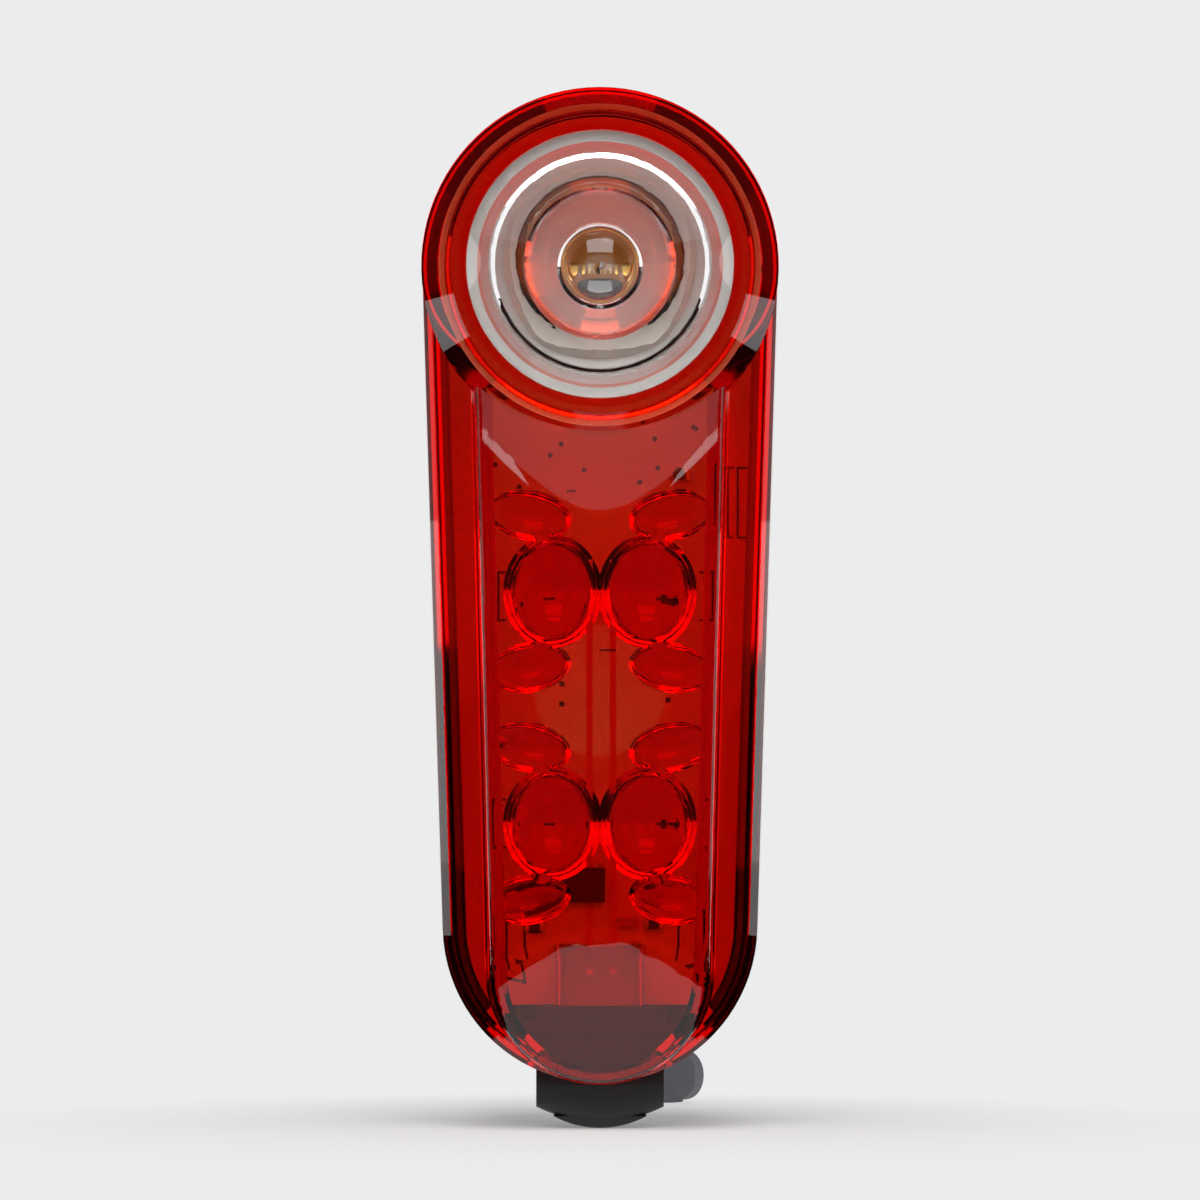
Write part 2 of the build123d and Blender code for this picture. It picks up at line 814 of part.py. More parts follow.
def make_cover():
    """The rubber cover: a tongue with a rounded foot, a pry lip, a plug nub and a hinge barrel"""
    half = cover_width / 2
    side_low = z_bottom - cover_side_drop
    low = z_bottom - cover_drop
    high = z_bottom + cover_rise
    face = Curve() + [
        Line((-half, high), (-half, side_low)),
        ThreePointArc((-half, side_low), (0, low), (half, side_low)),
        Line((half, side_low), (half, high)),
        Line((half, high), (-half, high)),
    ]
    back = -hinge_depth
    body = extrude(front_plane(back) * make_face(face), amount=cover_front_depth - back)
    front_y = parting_y - cover_front_depth
    foot = [e for e in body.edges() if e.center().Z < side_low + over and e.center().Y < front_y + over]
    body = fillet(foot, cover_edge_radius)
    # hollowed to the lens's round foot
    body -= forward_rod(tail_radius + cover_clearance, 0, z_tail, back - over, running_gap / 2)
    lens_room = base_form(-cover_clearance, -over) & block(
        (-tail_radius, tail_radius), (0, crown_depth), (z_bottom - over, z_bottom + 2 * lens_wall)
    )
    notch_half = half + cover_clearance
    notch = block(
        (-notch_half, notch_half), (-over, cover_front_depth + cover_clearance),
        (z_bottom - over, z_bottom + 2 * lens_wall),
    )
    body -= lens_room - notch
    barrel = Pos(0, hinge_y, hinge_z) * Rot(0, 90, 0) * Cylinder(hinge_radius, cover_width - 2 * cover_corner)
    body += barrel
    lip_half = lip_width / 2
    lip_face = make_face(
        Curve()
        + [
            ThreePointArc((-lip_half, low + lip_drop), (0, low - lip_drop), (lip_half, low + lip_drop)),
            Line((lip_half, low + lip_drop), (-lip_half, low + lip_drop)),
        ]
    )
    lip_front = cover_front_depth - lip_setback
    body += extrude(front_plane(lip_front - lip_length) * lip_face, amount=lip_length)
    body += block(
        (-nub_width / 2, nub_width / 2),
        (socket_depth - nub_thickness / 2, socket_depth + nub_thickness / 2),
        (high - over, high + nub_rise),
    )
    below = block((-half, half), (back - over, cover_front_depth), (low - lip_drop, z_bottom))
    return body & (swing_room() + below)


def swing_room():
    """What the cover's upper part may fill, so that it clears the lens as it turns on its hinge"""
    reach = sqrt((hinge_depth + cover_front_depth) ** 2 + hinge_drop**2)
    return Pos(0, hinge_y, hinge_z) * Rot(0, 90, 0) * Cylinder(reach, cover_width)


def rounded_block(x, depth, z, corner):
    """A block whose corners, seen from the front, are rounded"""
    middle = Pos((x[0] + x[1]) / 2, (z[0] + z[1]) / 2)
    face = middle * RectangleRounded(x[1] - x[0], z[1] - z[0], corner)
    return extrude(front_plane(depth[0]) * face, amount=depth[1] - depth[0])


def end_plane(z):
    """A level plane: its x runs to the right and its y runs forward"""
    return Plane(origin=(0, parting_y, z), x_dir=(1, 0, 0), z_dir=(0, 0, -1))


def make_socket_shell():
    outer = RectangleRounded(socket_width, socket_height, socket_corner)
    inner = RectangleRounded(
        socket_width - 2 * socket_wall, socket_height - 2 * socket_wall, socket_corner - socket_wall
    )
    place = end_plane(socket_top) * Pos(0, socket_depth)
    shell = extrude(place * outer, amount=socket_length)
    room = extrude(end_plane(socket_top - socket_wall) * Pos(0, socket_depth) * inner, amount=socket_length)
    return shell - room


def make_tongue():
    place = end_plane(socket_top - socket_wall) * Pos(0, socket_depth + tongue_thickness / 2)
    return extrude(place * Rectangle(tongue_width, tongue_thickness), amount=tongue_length)


def make_contacts():
    """Flat contacts on the tongue's face towards the board"""
    contacts = Part()
    front = socket_depth
    for number in range(contact_count):
        x = (number - (contact_count - 1) / 2) * contact_pitch
        high = socket_top - socket_wall
        contacts += block(
            (x - contact_width / 2, x + contact_width / 2), (front - contact_thickness, front),
            (high - contact_length, high),
        )
    return contacts


def make_port_frame():
    """The rubber frame between the socket's mouth and the lens's foot, with two sealing ribs"""
    depth = socket_height + 2 * frame_wall
    outer = RectangleRounded(frame_width, depth, socket_corner + frame_wall)
    room = RectangleRounded(
        nub_width + 2 * frame_clearance, nub_thickness + 2 * frame_clearance, socket_corner / 2
    )
    high, low = z_bottom + board_bottom - running_gap, z_bottom + frame_bottom
    place = end_plane(high) * Pos(0, socket_depth)
    frame = extrude(place * outer, amount=high - low)
    for lift in frame_rib_heights:
        rib = RectangleRounded(frame_rib_width, depth + frame_wall, socket_corner + frame_wall)
        frame += extrude(
            end_plane(z_bottom + lift + frame_rib_height) * Pos(0, socket_depth) * rib,
            amount=frame_rib_height,
        )
    frame &= lens_form(lens_wall + frame_clearance, 0)
    return frame - extrude(
        end_plane(high + over) * Pos(0, socket_depth) * room, amount=high - low + 2 * over
    )


def make_board():
    plate = outline(lens_wall + board_gap)
    board = extrude(front_plane(board_back_depth) * plate, amount=board_thickness)
    return board - block(
        (-head_radius, head_radius), (0, crown_depth), (z_bottom - over, z_bottom + board_bottom)
    )


def make_spot_package():
    half = led_size / 2
    high = board_front_depth + led_thickness
    package = rounded_block(
        (-half, half), (board_front_depth, high), (z_head - half, z_head + half), led_wall
    )
    return package - forward_rod(half - led_wall, 0, z_head, high - led_recess, high + over)


def make_spot_chip():
    half = led_chip_size / 2
    low = board_front_depth + led_thickness - led_recess
    return block((-half, half), (low, low + led_chip_thickness), (z_head - half, z_head + half))


def dome(radius, foot_depth, z, x=0):
    """A half ball that points forward"""
    ball = Pos(x, parting_y - foot_depth, z) * Sphere(radius)
    return ball & block(
        (x - 2 * radius, x + 2 * radius), (foot_depth, foot_depth + 2 * radius),
        (z - 2 * radius, z + 2 * radius),
    )


def make_spot_dome():
    """The clear dome, hollowed for the chip and filling the package's recess"""
    top = board_front_depth + led_thickness
    well = forward_rod(led_size / 2 - led_wall, 0, z_head, top - led_recess, top)
    return dome(led_dome_radius, top, z_head) + well - make_spot_chip()


def make_side_packages():
    packages = Part()
    high = board_front_depth + side_led_thickness
    for height in optic_heights:
        z = z_bottom + height
        packages += rounded_block(
            (-side_led_width / 2, side_led_width / 2), (board_front_depth, high),
            (z - side_led_height / 2, z + side_led_height / 2), led_recess,
        )
    return packages


def make_side_domes():
    domes = Part()
    for height in optic_heights:
        domes += dome(side_led_dome_radius, board_front_depth + side_led_thickness, z_bottom + height)
    return domes


def board_chip(place, width, height, thickness):
    """One flat piece on the board's front, from its place across and up, and its size"""
    x, lift = place
    z = z_bottom + lift
    return block(
        (x - width / 2, x + width / 2), (board_front_depth, board_front_depth + thickness),
        (z - height / 2, z + height / 2),
    )


def make_driver_chip():
    return board_chip((driver_offset, driver_lift), driver_width, driver_height, driver_thickness)


def make_indicator():
    return board_chip(indicator_place, indicator_width, indicator_height, indicator_thickness)


def make_small_components():
    chips = Part()
    for place in resistor_places:
        chips += board_chip(place, resistor_width, resistor_height, resistor_thickness)
    return chips


cell_back = -housing_shell_depth + housing_wall + tape_thickness
cell_low = z_bottom + cell_bottom


def make_cell():
    half = cell_width / 2
    body = rounded_block(
        (-half, half), (cell_back, cell_back + cell_thickness), (cell_low, cell_low + cell_height),
        cell_corner,
    )
    return fillet(body.edges().filter_by(Axis.Z), cell_corner)


def make_tape():
    half = cell_width / 2 - tape_margin
    return block(
        (-half, half), (cell_back - tape_thickness, cell_back),
        (cell_low + tape_margin, cell_low + cell_height - tape_margin),
    )


def make_leads():
    """Two leads from the cell's top end, forward to the board's back"""
    leads = Part()
    high = cell_low + cell_height
    y = parting_y - cell_back - cell_thickness / 2
    for side in (-1, 1):
        x = side * lead_spread
        path = FilletPolyline(
            (x, y, high), (x, y, high + lead_rise), (x, parting_y - board_back_depth, high + lead_rise),
            radius=lead_bend,
        )
        leads += sweep(Plane(origin=(x, y, high), z_dir=(0, 0, 1)) * Circle(lead_radius), path=path)
    return leads


pieces = {
    "red_lens": make_red_lens,
    "spot_lens": make_spot_lens,
    "spot_lens_seal": make_spot_seal,
    "spot_led_package": make_spot_package,
    "spot_led_chip": make_spot_chip,
    "spot_led_dome": make_spot_dome,
    "side_led_packages": make_side_packages,
    "side_led_domes": make_side_domes,
    "circuit_board": make_board,
    "driver_chip": make_driver_chip,
    "small_components": make_small_components,
    "indicator_led": make_indicator,
    "usb_shell": make_socket_shell,
    "usb_tongue": make_tongue,
    "usb_contacts": make_contacts,
    "port_seal": make_port_frame,
    "usb_cover": make_cover,
    "usb_cover_anchor": lambda: anchor_form(0),
    "battery_cell": make_cell,
    "battery_tape": make_tape,
    "battery_leads": make_leads,
    "switch_body": make_switch_body,
    "switch_plunger": make_plunger,
    "power_button": make_power_button,
    "button_seal": make_button_seal,
    "rear_housing": make_housing,
    "housing_gasket": lambda: rim_band(gasket_inset, gasket_inset + gasket_width, -gasket_thickness, 0),
    "saddle_pad": make_saddle_pad,
    "strap": make_strap,
    "strap_pin": make_strap_pin,
}

for name, make in pieces.items():
    export_step(make(), f"parts/{name}.step")
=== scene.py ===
# %% [markdown]
# # A rear light for a bicycle, in red polycarbonate
# The light is a tall red lens over a white circuit board, with a clear spot lens in its head and a
# black rubber cover over the charging socket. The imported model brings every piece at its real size.
# This script gives each piece its material, adds the printed marks on the board, and sets up the
# table, the lamps and the camera of a small product studio.

import json
import math

import bmesh
import bpy
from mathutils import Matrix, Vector


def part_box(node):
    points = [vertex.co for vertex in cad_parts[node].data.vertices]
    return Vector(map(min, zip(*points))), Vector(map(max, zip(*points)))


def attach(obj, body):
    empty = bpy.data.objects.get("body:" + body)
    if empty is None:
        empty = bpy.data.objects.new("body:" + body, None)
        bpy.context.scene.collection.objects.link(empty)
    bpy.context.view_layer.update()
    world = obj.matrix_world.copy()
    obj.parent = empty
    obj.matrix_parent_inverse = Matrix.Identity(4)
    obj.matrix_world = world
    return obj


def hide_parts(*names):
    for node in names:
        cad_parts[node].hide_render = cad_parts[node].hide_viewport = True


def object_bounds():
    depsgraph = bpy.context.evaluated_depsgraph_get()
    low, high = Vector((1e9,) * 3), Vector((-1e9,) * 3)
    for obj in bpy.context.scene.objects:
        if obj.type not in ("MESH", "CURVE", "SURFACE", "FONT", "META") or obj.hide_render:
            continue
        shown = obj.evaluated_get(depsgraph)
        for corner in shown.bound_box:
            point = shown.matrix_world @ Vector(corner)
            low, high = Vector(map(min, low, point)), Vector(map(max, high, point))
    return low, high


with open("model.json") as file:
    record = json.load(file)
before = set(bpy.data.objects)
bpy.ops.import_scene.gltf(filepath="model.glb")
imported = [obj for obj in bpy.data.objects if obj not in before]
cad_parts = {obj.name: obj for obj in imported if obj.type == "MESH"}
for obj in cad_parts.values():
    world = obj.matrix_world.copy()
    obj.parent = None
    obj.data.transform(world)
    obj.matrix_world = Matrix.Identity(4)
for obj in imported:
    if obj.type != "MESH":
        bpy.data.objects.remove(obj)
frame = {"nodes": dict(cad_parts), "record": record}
cad_low, cad_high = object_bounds()
nodes = frame["nodes"]
print("pieces from the frame:", len(nodes))

# %% [markdown]
# Blender works in metres, and this object is 90 mm tall, so every length below is written in
# millimetres and turned to metres in one place. Colours are written as the sRGB hex values that an
# image editor shows. Shaders work in linear light, so one function turns them over.

# %% Units and colours
MM = 0.001


def colour(hex_value, alpha=1.0):
    channels = [int(hex_value[i : i + 2], 16) / 255 for i in (1, 3, 5)]
    linear = [c / 12.92 if c <= 0.04045 else ((c + 0.055) / 1.055) ** 2.4 for c in channels]
    return (*linear, alpha)


# %% [markdown]
# A material is a small graph. One function adds a node of any kind, sets its values by name and
# links its inputs, so each material below reads as a short list of what feeds what. Where a node's
# inputs share one name they go by number: 0 and 1 are the first and second number of a Math node,
# and 6 and 7 the two colours of a Mix node.

# %% One way to add a node
def add(tree, kind, settings=None, values=None, links=None):
    made = tree.nodes.new("ShaderNode" + kind)
    for key, value in (settings or {}).items():
        setattr(made, key, value)
    for key, value in (values or {}).items():
        made.inputs[key].default_value = value
    for key, source in (links or {}).items():
        tree.links.new(source, made.inputs[key])
    return made


def new_material(name):
    material = bpy.data.materials.new(name)
    material.use_nodes = True
    material.node_tree.nodes.clear()
    return material


def output(tree, surface, volume=None):
    end = add(tree, "OutputMaterial", links={"Surface": surface})
    if volume is not None:
        tree.links.new(volume, end.inputs["Volume"])


# %% [markdown]
# ## The photograph's camera
# The front of the lens is seen square on, from a little under 70 cm, with the horizon at the height
# of the lens's middle. The camera looks level and its shift, not a tilt, lifts the picture, which
# keeps the upright edges parallel.

# %% Camera
PIXEL = 0.0861 * MM
FRAME_PIXELS = 1200
HORIZON_ROW = 680
FOOT_ROW = 1085
CAMERA_DISTANCE = 690 * MM
SENSOR = 36.0
NEAR_CLIP = 10 * MM
OUTLINE_DEPTH = 5.6 * MM  # from the lens's back edge to its widest outline, where PIXEL holds

lens_low, lens_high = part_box("red_lens")
foot = lens_low.z
front = lens_low.y
outline_y = lens_high.y - OUTLINE_DEPTH
eye_height = foot + (FOOT_ROW - HORIZON_ROW) * PIXEL

camera_data = bpy.data.cameras.new("camera")
camera = bpy.data.objects.new("camera", camera_data)
bpy.context.scene.collection.objects.link(camera)
camera.location = (0, front - CAMERA_DISTANCE, eye_height)
camera.rotation_euler = (math.radians(90), 0, 0)
camera_data.sensor_width = SENSOR
camera_data.lens = SENSOR * (outline_y - camera.location.y) / (FRAME_PIXELS * PIXEL)
camera_data.shift_y = (HORIZON_ROW - FRAME_PIXELS / 2) / FRAME_PIXELS
camera_data.clip_start = NEAR_CLIP
bpy.context.scene.camera = camera
print("focal length", round(camera_data.lens, 1), "mm, eye at", round(eye_height / MM, 1), "mm")

# %% [markdown]
# ## Table, backdrop and lamps
# The table is one sheet that curves up behind the light, so that no line shows. The lamps light it.
# Rays from the camera see mostly its own even glow, and less of that round the foot, so that the
# shadow stays. Rays through clear plastic see the glow too.

# %% Table sheet
TABLE_Z = cad_low.z
TABLE_HALF_WIDTH = 1600 * MM
TABLE_FRONT = -1200 * MM
TABLE_BACK = 1700 * MM
TABLE_BEND = 400 * MM
TABLE_TOP = 1400 * MM
BEND_STEPS = 16


def sheet_profile():
    points = [(TABLE_FRONT, TABLE_Z), (TABLE_BACK - TABLE_BEND, TABLE_Z)]
    for step in range(1, BEND_STEPS + 1):
        turn = math.pi / 2 * step / BEND_STEPS
        points.append((
            TABLE_BACK - TABLE_BEND + TABLE_BEND * math.sin(turn),
            TABLE_Z + TABLE_BEND * (1 - math.cos(turn)),
        ))
    points.append((TABLE_BACK, TABLE_TOP))
    return points


def make_sheet():
    mesh = bpy.data.meshes.new("table")
    profile = sheet_profile()
    vertices = [(side * TABLE_HALF_WIDTH, y, z) for y, z in profile for side in (-1, 1)]
    faces = [(2 * i, 2 * i + 1, 2 * i + 3, 2 * i + 2) for i in range(len(profile) - 1)]
    mesh.from_pydata(vertices, [], faces)
    mesh.shade_smooth()
    sheet = bpy.data.objects.new("table", mesh)
    bpy.context.scene.collection.objects.link(sheet)
    return sheet


table = make_sheet()
print("faces of the table:", len(table.data.polygons))

# %% [markdown]
# The sheet is a matte laminate with no highlight of its own, so its lit part is plain diffuse. The
# polished front of the lens would mirror a bright table as far as the eye reaches, but the real one
# shows a pale shape with two peaks and a dark ground above. So the table paints its own reflection:
# gloss sees a painted pale pool of the glow, which ends a hand's width in front of the lens along a
# line with two teeth, and past it a painted dark.

# %% Table material
TABLE_COLOUR = "#EDEDED"
GLOW_COLOUR = "#ECECEC"
# Painted reflection: the dark that gloss sees past the painted pale pool
PAINTED_DARK_REFLECTION = "#101010"
SHADE_SHARE = 0.75  # of the glow, taken away at the foot
SHADE_NEAR, SHADE_FAR = 22 * MM, 62 * MM
# Where the painted pale pool that gloss sees ends, and the shape of its two-toothed edge
GLOSS_EDGE = front - 68 * MM
GLOSS_PEAK = 4.3 * MM  # how far to each side the teeth stand
GLOSS_FALL, GLOSS_NOTCH = 6.4, 4.6  # slopes of the line between the teeth and outside them
GLOSS_FADE = 3 * MM


def table_material():
    material = new_material("laminate_with_painted_reflection")
    tree = material.node_tree
    path = add(tree, "LightPath")
    place = add(tree, "NewGeometry")
    split = add(tree, "SeparateXYZ", links={"Vector": place.outputs["Position"]})
    aside = add(tree, "Math", {"operation": "ABSOLUTE"}, links={0: split.outputs["X"]})
    beyond = add(tree, "Math", {"operation": "SUBTRACT"}, {1: GLOSS_PEAK}, {0: aside.outputs[0]})
    fall = add(tree, "Math", {"operation": "MULTIPLY"}, {1: GLOSS_FALL}, {0: beyond.outputs[0]})
    notch = add(tree, "Math", {"operation": "MULTIPLY"}, {1: -GLOSS_NOTCH}, {0: beyond.outputs[0]})
    steeper = add(tree, "Math", {"operation": "MAXIMUM"}, links={
        0: fall.outputs[0], 1: notch.outputs[0],
    })
    ahead = add(tree, "Math", {"operation": "SUBTRACT"}, links={
        0: split.outputs["Y"], 1: steeper.outputs[0],
    })
    # Mask of the painted pale pool that gloss sees, 1 inside and 0 past its edge
    near = add(tree, "MapRange", values={
        "From Min": GLOSS_EDGE - GLOSS_FADE, "From Max": GLOSS_EDGE, "To Min": 0.0, "To Max": 1.0,
    }, links={"Value": ahead.outputs[0]})
    painted_pool = add(tree, "Math", {"operation": "MULTIPLY"}, links={
        0: path.outputs["Is Glossy Ray"], 1: near.outputs[0],
    })
    foot_spot = add(tree, "VectorMath", {"operation": "DISTANCE"}, {1: (0.0, outline_y, TABLE_Z)}, {
        0: place.outputs["Position"],
    })
    even = add(tree, "MapRange", values={
        "From Min": SHADE_NEAR, "From Max": SHADE_FAR, "To Min": 1 - SHADE_SHARE, "To Max": 1.0,
    }, links={"Value": foot_spot.outputs["Value"]})
    direct = add(tree, "Math", {"operation": "MULTIPLY"}, links={
        0: path.outputs["Is Camera Ray"], 1: even.outputs[0],
    })
    seen = add(tree, "Math", {"operation": "ADD"}, links={
        0: direct.outputs[0], 1: path.outputs["Is Transmission Ray"],
    })
    share = add(tree, "Math", {"operation": "ADD", "use_clamp": True}, links={
        0: seen.outputs[0], 1: painted_pool.outputs[0],
    })
    paper = add(tree, "BsdfDiffuse", values={"Color": colour(TABLE_COLOUR)})
    glow = add(tree, "Emission", values={"Color": colour(GLOW_COLOUR), "Strength": 1.0})
    # Painted dark reflection, which gloss sees past the pale pool
    painted_dark = add(tree, "BsdfDiffuse", values={"Color": colour(PAINTED_DARK_REFLECTION)})
    painted_dark_mask = add(tree, "Math", {"operation": "SUBTRACT"}, {0: 1.0}, {1: near.outputs[0]})
    painted_dark_share = add(tree, "Math", {"operation": "MULTIPLY"}, links={
        0: path.outputs["Is Glossy Ray"], 1: painted_dark_mask.outputs[0],
    })
    lit = add(tree, "MixShader", links={
        "Fac": share.outputs[0], 1: paper.outputs[0], 2: glow.outputs[0],
    })
    both = add(tree, "MixShader", links={
        "Fac": painted_dark_share.outputs[0], 1: lit.outputs[0], 2: painted_dark.outputs[0],
    })
    output(tree, both.outputs[0])
    return material


table.data.materials.append(table_material())

# %% [markdown]
# Soft lamps stand where the photograph's reflections put them. A wide and weak one above the camera
# shows as the pale band under the head, the key above it lights the forms, two small beams beside
# the camera brighten the flange of the spot lens, one lamp at each side draws the lines down the
# edges of the lens, two low ones light the lobes from the side, and one stands overhead.

# %% Lamps
LAMPS = {
    # name: place and size in millimetres, power in watts
    "band": ((0, -600, 180), (480, 150), 0.12),
    "key": ((0, -480, 390), (420, 240), 1.4),
    "beam left": ((-180, -700, 92), (130, 60), 0.07),
    "beam right": ((180, -700, 92), (130, 60), 0.07),
    "left": ((-330, -120, 100), (240, 240), 0.12),
    "right": ((330, -140, 100), (240, 240), 0.18),
    "top": ((0, -215, 520), (300, 200), 0.9),
    "low left": ((-150, -25, 5), (60, 50), 0.016),
    "low right": ((150, -25, 5), (60, 50), 0.016),
}
AIM_HEIGHT = 40 * MM
AIM = Vector((0, front, foot + AIM_HEIGHT))


def add_lamp(name, place, size, power):
    data = bpy.data.lights.new(name, "AREA")
    data.shape = "RECTANGLE"
    data.size, data.size_y = (side * MM for side in size)
    data.energy = power
    lamp = bpy.data.objects.new(name, data)
    lamp.location = Vector(place) * MM
    lamp.rotation_euler = (AIM - lamp.location).to_track_quat("-Z", "Y").to_euler()
    bpy.context.scene.collection.objects.link(lamp)


for lamp_name, settings in LAMPS.items():
    add_lamp(lamp_name, *settings)
print("lamps:", len(LAMPS))

# %% [markdown]
# The world is a weak, even light from all round. The camera sees it in the backdrop's own tone, so
# that the background stays plain from every side. Clear plastic sees white through it, and gloss
# sees it almost dark, so that the polished front shows the lamps and nothing else.

# %% World
WORLD_LEVEL = 0.32
WORLD_GLOSS = 0.016
WORLD_THROUGH = 1.0
WORLD_SEEN = colour(GLOW_COLOUR)[0]


def world_light():
    world = bpy.data.worlds.new("studio")
    world.use_nodes = True
    tree = world.node_tree
    tree.nodes.clear()
    path = add(tree, "LightPath")
    level = add(tree, "MapRange", values={"To Min": WORLD_LEVEL, "To Max": WORLD_GLOSS}, links={
        "Value": path.outputs["Is Glossy Ray"],
    })
    through = add(tree, "Math", {"operation": "MULTIPLY"}, {1: WORLD_THROUGH}, {
        0: path.outputs["Is Transmission Ray"],
    })
    seen = add(tree, "Math", {"operation": "MULTIPLY"}, {1: WORLD_SEEN}, {
        0: path.outputs["Is Camera Ray"],
    })
    most = add(tree, "Math", {"operation": "MAXIMUM"}, links={
        0: level.outputs[0], 1: through.outputs[0],
    })
    total = add(tree, "Math", {"operation": "MAXIMUM"}, links={
        0: most.outputs[0], 1: seen.outputs[0],
    })
    glow = add(tree, "Background", values={"Color": colour("#FFFFFF")}, links={
        "Strength": total.outputs[0],
    })
    add(tree, "OutputWorld", links={"Surface": glow.outputs[0]})
    bpy.context.scene.world = world


world_light()

# %% [markdown]
# ## Clear plastics
# Polycarbonate is moulded and bright from the polished steel of its mould. Light goes through it,
# bends at an index of 1.585 and loses its green and blue on the way, so the colour belongs in the
# volume, not on the surface: thin walls look orange and thick ones deep red. A wave of a few
# thousandths of a millimetre in the moulded face makes its reflections waver a little. The spot lens
# is the same plastic without the dye, polished, and the domes of the LEDs are soft silicone, which
# bends light less.

# %% Polycarbonate
POLYCARBONATE_IOR = 1.585
SILICONE_IOR = 1.41


def clear_plastic(name, ior, roughness, tint=None, density=0.0, ripple=0.0, ripple_size=5.0):
    """A clear material; its ripple's depth and size are in millimetres"""
    material = new_material(name)
    tree = material.node_tree
    links = {}
    if ripple:
        place = add(tree, "TexCoord")
        waves = add(tree, "TexNoise", values={"Scale": 1 / (ripple_size * MM), "Detail": 1.0}, links={
            "Vector": place.outputs["Object"],
        })
        bump = add(tree, "Bump", values={"Strength": 1.0, "Distance": ripple * MM}, links={
            "Height": waves.outputs[0],
        })
        links["Normal"] = bump.outputs[0]
    shader = add(tree, "BsdfPrincipled", values={
        "Base Color": colour("#FFFFFF"), "Transmission Weight": 1.0, "IOR": ior, "Roughness": roughness,
    }, links=links)
    volume = None
    if tint:
        volume = add(tree, "VolumeAbsorption", values={"Color": tint, "Density": density}).outputs[0]
    output(tree, shader.outputs[0], volume)
    return material


RED_TINT, RED_DENSITY = (0.988, 0.35, 0.03, 1.0), 2000.0
CLEAR_TINT, CLEAR_DENSITY = (0.98, 0.99, 1.0, 1.0), 20.0
MOULDED, POLISHED = 0.02, 0.0  # roughness
red_plastic = clear_plastic(
    "red_polycarbonate_moulded", POLYCARBONATE_IOR, MOULDED, RED_TINT, RED_DENSITY, ripple=0.004
)
clear = clear_plastic(
    "clear_polycarbonate_polished", POLYCARBONATE_IOR, POLISHED, CLEAR_TINT, CLEAR_DENSITY
)
silicone_dome = clear_plastic("clear_silicone_moulded", SILICONE_IOR, MOULDED)

# %% [markdown]
# ## Opaque finishes
# Most other pieces are moulded or plated, and look alike in build: a base colour that wanders a
# little, a roughness, and a fine relief. One function makes such a finish from real sizes: the grain
# and its depth, and the size of the blotches over which the colour wanders, all in millimetres.

# %% Moulded and plated finishes
BLOTCH_DETAIL = 3.0
BLOTCH_LOW, BLOTCH_HIGH = 0.3, 0.7  # most of a noise's values lie between these
SMOOTHER, ROUGHER = 0.9, 1.1  # how far the roughness wanders with the colour


def finish(name, base, second, roughness, grain, depth, metallic=0.0, spread=3.0, ior=1.5):
    """An opaque material of two colours; its grain, depth and spread are in millimetres"""
    material = new_material(name)
    tree = material.node_tree
    place = add(tree, "TexCoord")
    blotch = add(tree, "TexNoise", values={"Scale": 1 / (spread * MM), "Detail": BLOTCH_DETAIL}, links={
        "Vector": place.outputs["Object"],
    })
    mixed = add(tree, "Mix", {"data_type": "RGBA"}, links={0: blotch.outputs[0]})
    mixed.inputs[6].default_value = colour(base)
    mixed.inputs[7].default_value = colour(second)
    relief = add(tree, "TexNoise", values={"Scale": 1 / (grain * MM)}, links={
        "Vector": place.outputs["Object"],
    })
    rough = add(tree, "MapRange", values={
        "From Min": BLOTCH_LOW, "From Max": BLOTCH_HIGH,
        "To Min": roughness * SMOOTHER, "To Max": roughness * ROUGHER,
    }, links={"Value": blotch.outputs[0]})
    bump = add(tree, "Bump", values={"Strength": 1.0, "Distance": depth * MM}, links={
        "Height": relief.outputs[0],
    })
    values = {"Metallic": metallic}
    if not metallic:
        values["IOR"] = ior
    shader = add(tree, "BsdfPrincipled", values=values, links={
        "Base Color": mixed.outputs[2], "Roughness": rough.outputs[0], "Normal": bump.outputs[0],
    })
    output(tree, shader.outputs[0])
    return material


# %% [markdown]
# Each finish starts from what the piece is made of and how its surface was made. The comment over
# it says what that gives the eye.

# %% Rubbers and plastics
# Moulded white silicone: milky, with a soft sheen
white_silicone = finish("silicone_rubber_white", "#E9E6E0", "#DEDAD2", 0.5, 0.12, 0.004, ior=1.43)
# Moulded black rubber: nearly no highlight, a grain like fine dust
black_rubber = finish("epdm_rubber_moulded", "#0B0B0C", "#111113", 0.6, 0.12, 0.006, ior=1.52)
# Moulded grey silicone: matte, a little purple
grey_silicone = finish("silicone_rubber_moulded", "#7B7880", "#6D6B73", 0.6, 0.15, 0.006, ior=1.43)
# ABS from a spark-eroded mould: a fine even grain that breaks up the highlight
black_abs = finish("abs_spark_eroded", "#161618", "#1E1E20", 0.48, 0.09, 0.012, ior=1.53)
# LED frame, moulded from white polyphthalamide: bright and almost smooth
led_frame = finish("ppa_moulded", "#F2EFE6", "#E8E4D8", 0.4, 0.08, 0.003)
# Phosphor in silicone over the die: amber, and matte from its powder
phosphor = finish("phosphor_silicone", "#D98A2B", "#B96A18", 0.5, 0.06, 0.005)
# Foam tape: open cells, so dull all over
foam = finish("pe_foam_tape", "#6B6B6E", "#59595C", 0.8, 0.15, 0.03)
# Extruded PVC on the leads: smooth, with a plain highlight
insulation = finish("pvc_extruded", "#8E1512", "#7A100E", 0.4, 0.2, 0.004)

# %% Board and metals
# Screened solder mask: white lacquer over glass cloth, smooth and a little glossy
solder_mask = finish("solder_mask_screened", "#F0EFEA", "#E6E4DD", 0.32, 0.3, 0.004)
# Moulded epoxy of a chip: satin grey
epoxy = finish("epoxy_moulded", "#565658", "#464649", 0.5, 0.05, 0.004)
